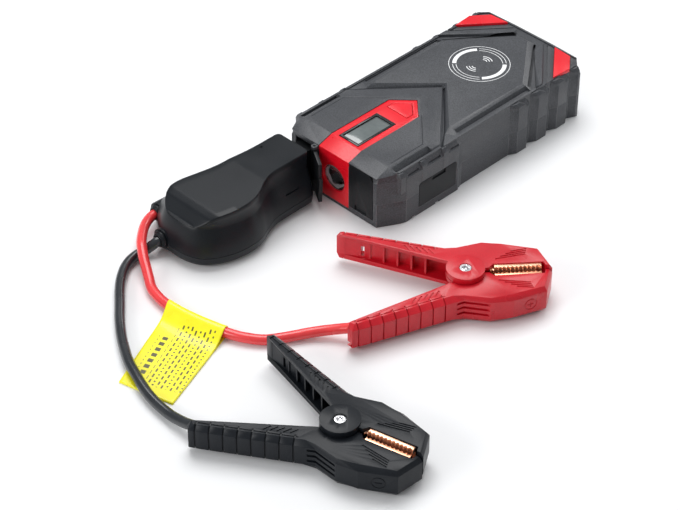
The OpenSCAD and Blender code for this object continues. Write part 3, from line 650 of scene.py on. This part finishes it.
def clamp_cuts(positive):
    """The cutters of a clamp half in its own frame, and those of its polarity mark."""
    cuts = [grip_cut(5 + 8 * k) for k in range(8)]
    faces = ((HALF_Z1 - 0.5, HALF_Z1 + 1), (HALF_Z0 - 1, HALF_Z0 + 0.5))
    for z in faces:
        cuts.append(slice_of(((-5.0, z[0]), (-4.4, z[0]), (-4.4, z[1]), (-5.0, z[1])), (3, 60)))
        cuts += [bar(19 + 3.4 * k, 8.2 + 2.2 * k, 10, (19 - 3 * k, 0.9), z) for k in range(4)]
        cuts += [bar(-20 - 3.6 * k, 20.5 + 1.3 * k, 118, (-5.5, 0.9), z) for k in range(5)]
    fin = [(-7.5, 22.6), (-3, 20.0), (10.5, 24.0), (13, 27), (13, 31), (-7.5, 31)]
    cuts += [prism(fin, z, z + 1.7) for z in (8.0, 11.9, 15.8)]
    # polarity mark on the jaw's side
    side = Vector((21, -7.5, 0)).normalized()
    face = Vector((-side.y, side.x, 0))
    at = Vector((26, 25, 13.4)) + side * 11.5
    on_side = Matrix.Translation(at) @ Matrix((side, Vector((0, 0, 1)), face)).transposed().to_4x4()
    depth, long, thin = (-0.35, 2), (-2.2, 2.2), (-0.35, 0.35)
    marks = [hoop(3.5, 4.1, *depth), box(long, thin, depth)]
    if positive:
        marks.append(box(thin, long, depth))
    return cuts, [moved(m, on_side) for m in marks]


TURN = {"red": 49.7, "black": 14.5}
hook = prism([(-77, 38), (-70.4, 36), (-68.8, 43.6), (-77, 47)], 16.9, 19.4)
slot = slice_of(((-6, 7.5), (2, 7.5), (2, 15), (-6, 15)), (48.5, 50.5))
ribs = []
for s in range(9, 55, 9):
    deep = -11.4 + 0.146 * (s - 6)                  # just short of the channel's mouth
    ribs.append(slice_of(((-4.5, 6), (deep, 6), (deep, 20.8), (-4.5, 20.8)), (s - 0.6, s + 0.6)))
for key in ("red", "black"):
    lo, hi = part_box(f"{key}_pivot_screw")
    pivot = Matrix.Translation(((lo[0] + hi[0]) / 2 / MM, (lo[1] + hi[1]) / 2 / MM, 0))
    moving = pivot @ Matrix.Rotation(math.radians(TURN[key]), 4, "Z")
    over = moving @ Matrix.Translation((0, 0, CLAMP_H)) @ Matrix.Rotation(math.pi, 4, "X")
    cuts, marks = clamp_cuts(key == "red")
    for half, place in (("moving_half", moving), ("fixed_half", over)):
        o = cad_copy(f"{key}_{half}", f"{key}_{half.split('_')[0]}_grip")
        for c in cuts + marks:
            carve(o, [moved(c, place)])
        if half == "moving_half":
            for r in ribs:
                carve(o, [moved(r, place)], "UNION")
            carve(o, [moved(slot, place)])
        else:
            carve(o, [moved(hook, place)])
        body = "cable_set" if half == "fixed_half" else f"{key}_arm"
        piece(o, f"{key}_grip", body, f"{key}_{half}")
        edges(o, GRIP_EDGE)

# ---------- tag ----------
TAG_END = [Vector((34, -303, 0)), Vector((70, -293.5, 0))]   # far corners of its leaves
TAG_LOOP = 3.75                                     # radius of the fold round the cord
LEAF_Z, UNDER_Z = 0.65, 0.18                        # heights of the two leaves on the ground


def tag_sheet(across=24, down=40):
    """A strip of card folded round the red cord: one leaf comes off its top, and one off its underside."""
    fold = spline(RED[12:17])
    rows = []
    for i in range(across + 1):
        s = i / across
        k = s * (len(fold) - 1)
        c = fold[int(k)].lerp(fold[min(int(k) + 1, len(fold) - 1)], k % 1) / MM
        end = TAG_END[0].lerp(TAG_END[1], s)
        away = Vector((end.x - c.x, end.y - c.y, 0))
        reach = away.length
        away.normalize()
        row = []
        for j in range(down + 1):                   # lower leaf, from its end to the cord
            t = 1 - j / down
            row.append(Vector((c.x, c.y, UNDER_Z)) + away * (reach * t))
        for j in range(1, 12):                      # round the cord
            a = math.pi * j / 12
            row.append(c + away * (-TAG_LOOP * math.sin(a)) + Vector((0, 0, -TAG_LOOP * math.cos(a))))
        for j in range(down + 1):                   # upper leaf, from the cord to its end
            d = reach * j / down
            z = LEAF_Z + (c.z + TAG_LOOP - LEAF_Z) * math.exp(-(d / 7.5) ** 1.7)
            z += 0.5 * math.sin(math.pi * min(d / reach, 1)) * (0.6 + 0.4 * math.sin(5 * s + 1))
            row.append(Vector((c.x, c.y, z)) + away * d)
        rows.append(row)
    n = len(rows[0])
    faces = [(i * n + j, i * n + j + 1, (i + 1) * n + j + 1, (i + 1) * n + j)
             for i in range(across) for j in range(n - 1)]
    return [p for r in rows for p in r], faces


verts, faces = tag_sheet()
tag_mesh = bpy.data.meshes.new("folded_tag")
tag_mesh.from_pydata([Vector(v) * MM for v in verts], [], faces)
tag = bpy.data.objects.new("folded_tag", tag_mesh)
scene.collection.objects.link(tag)
thick = tag.modifiers.new("thickness", "SOLIDIFY")
thick.thickness = 0.3 * MM
thick.offset = 0
for p in tag.data.polygons:
    p.use_smooth = True
applied(tag)


def tag_finish():
    """The tag's card with rows of plain bars for its print, on the leaf that shows."""
    t = M["tag_yellow"].node_tree
    b = t.nodes["Principled BSDF"]
    card = b.inputs["Base Color"].links[0].from_socket
    turn = t.nodes.new("ShaderNodeMapping")
    turn.vector_type = "TEXTURE"
    turn.inputs["Location"].default_value = (0.007, -0.2414, 0)
    turn.inputs["Rotation"].default_value = (0, 0, math.radians(-66))
    t.links.new(t.nodes.new("ShaderNodeTexCoord").outputs["Object"], turn.inputs["Vector"])
    axes = t.nodes.new("ShaderNodeSeparateXYZ")
    t.links.new(turn.outputs["Vector"], axes.inputs["Vector"])

    def combined(a, c, operation="MULTIPLY"):
        n = t.nodes.new("ShaderNodeMath")
        n.operation = operation
        t.links.new(a, n.inputs[0])
        t.links.new(c, n.inputs[1])
        return n.outputs[0]

    def bars(length, pitch, gap, x, y):
        """Ink in rows of bars, inside a rectangle of the leaf."""
        rows = add(t, "ShaderNodeTexBrick", Scale=1.0)
        rows.inputs["Mortar Size"].default_value = gap
        rows.inputs["Mortar Smooth"].default_value = 0.05
        rows.inputs["Brick Width"].default_value = length
        rows.inputs["Row Height"].default_value = pitch
        rows.squash, rows.squash_frequency = 0.62, 3
        t.links.new(turn.outputs["Vector"], rows.inputs["Vector"])
        ink = spread(t, rows.outputs["Fac"], 1, 0, 0.4, 0.6)
        for axis, (low, high) in (("X", x), ("Y", y)):
            ink = combined(ink, spread(t, axes.outputs[axis], 0, 1, low, low + 0.0003))
            ink = combined(ink, spread(t, axes.outputs[axis], 1, 0, high, high + 0.0003))
        return ink

    fine = bars(0.0048, 0.0029, 0.00095, (0.011, 0.0635), (0.013, 0.0365))
    heading = bars(0.0052, 0.0062, 0.0011, (0.022, 0.0575), (0.0045, 0.0105))
    mix = t.nodes.new("ShaderNodeMix")
    mix.data_type = "RGBA"
    t.links.new(combined(fine, heading, "MAXIMUM"), mix.inputs["Factor"])
    t.links.new(card, mix.inputs["A"])
    mix.inputs["B"].default_value = (0.10, 0.09, 0.03, 1)
    t.links.new(mix.outputs["Result"], b.inputs["Base Color"])


tag_finish()
piece(tag, "tag_yellow", "cable_set", "cable_tag")

for key, route in (("red", RED), ("black", BLACK)):
    points = spline(route)
    on_it = [bpy.data.objects[f"{key}_moving_grip"], bpy.data.objects[f"{key}_fixed_grip"]]
    on_it += [nodes[f"{key}_{n}"] for n in ON_CLAMP if not n.endswith("half")]

# ---------- floor and light ----------
FAR = 6000
corners = [(-FAR, -FAR, 0), (FAR, -FAR, 0), (FAR, FAR, 0), (-FAR, FAR, 0)]
floor = solid("floor", corners, [(0, 1, 2, 3)])
floor.location.z = -0.0002
white = surface("floor_white", (0.86, 0.865, 0.875), 0.6, vary=0.005, scale=3, cloud=0.005)
floor.data.materials.append(white)

world = bpy.data.worlds.new("studio")
scene.world = world
world.use_nodes = True
world.node_tree.nodes["Background"].inputs["Color"].default_value = (0.97, 0.985, 1, 1)
world.node_tree.nodes["Background"].inputs["Strength"].default_value = 0.42


def softbox(name, at, aim, size, power):
    """A rectangular light that faces a point."""
    d = bpy.data.lights.new(name, "AREA")
    d.shape = "RECTANGLE"
    d.size, d.size_y = size
    d.energy = power
    o = bpy.data.objects.new(name, d)
    o.location = at
    o.rotation_euler = (Vector(aim) - Vector(at)).to_track_quat("-Z", "Y").to_euler()
    scene.collection.objects.link(o)


softbox("top", (-0.5, 0.3, 1.7), (0.05, -0.1, 0), (1.3, 1.3), 26)
softbox("front_left", (-0.35, -1.7, 0.8), (0, -0.1, 0), (1.0, 0.7), 13)
softbox("back", (0.1, 1.6, 0.9), (0, 0, 0), (1.6, 0.4), 9)
